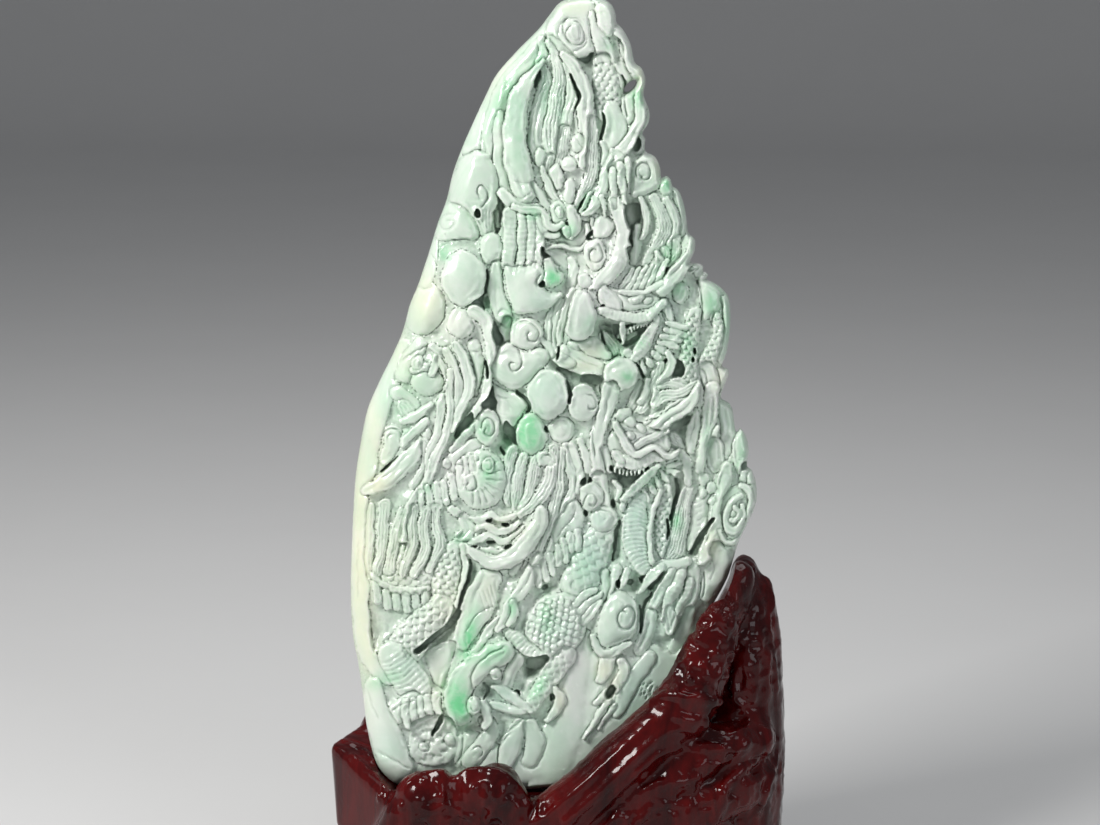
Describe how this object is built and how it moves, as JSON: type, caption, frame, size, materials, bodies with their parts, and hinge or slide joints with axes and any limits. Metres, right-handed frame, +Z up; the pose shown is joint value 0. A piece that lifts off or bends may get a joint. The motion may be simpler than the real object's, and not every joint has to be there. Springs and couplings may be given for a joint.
{
  "type": "jade carving on stand",
  "caption": "Upright leaf-shaped jade slab with a deeply carved relief of dragons, clouds and pearls, resting in the slot of a low carved and lacquered wood stand",
  "frame": {"origin": "the centre of the stand's flat underside, on the surface the object stands on", "axes": "+Z up, the carved front faces -Y, +X to the right of someone looking at the front"},
  "size_m": [0.2135, 0.1229, 0.42],
  "materials": {
    "jade": "polished pale green stone with mint patches, cream edges and dark dirt in the crevices",
    "lacquered_wood": "carved hardwood under glossy dark red lacquer"
  },
  "bodies": {
    "root": {"jade_carving": "jade", "wood_stand": "lacquered_wood"}
  },
  "joints": []
}
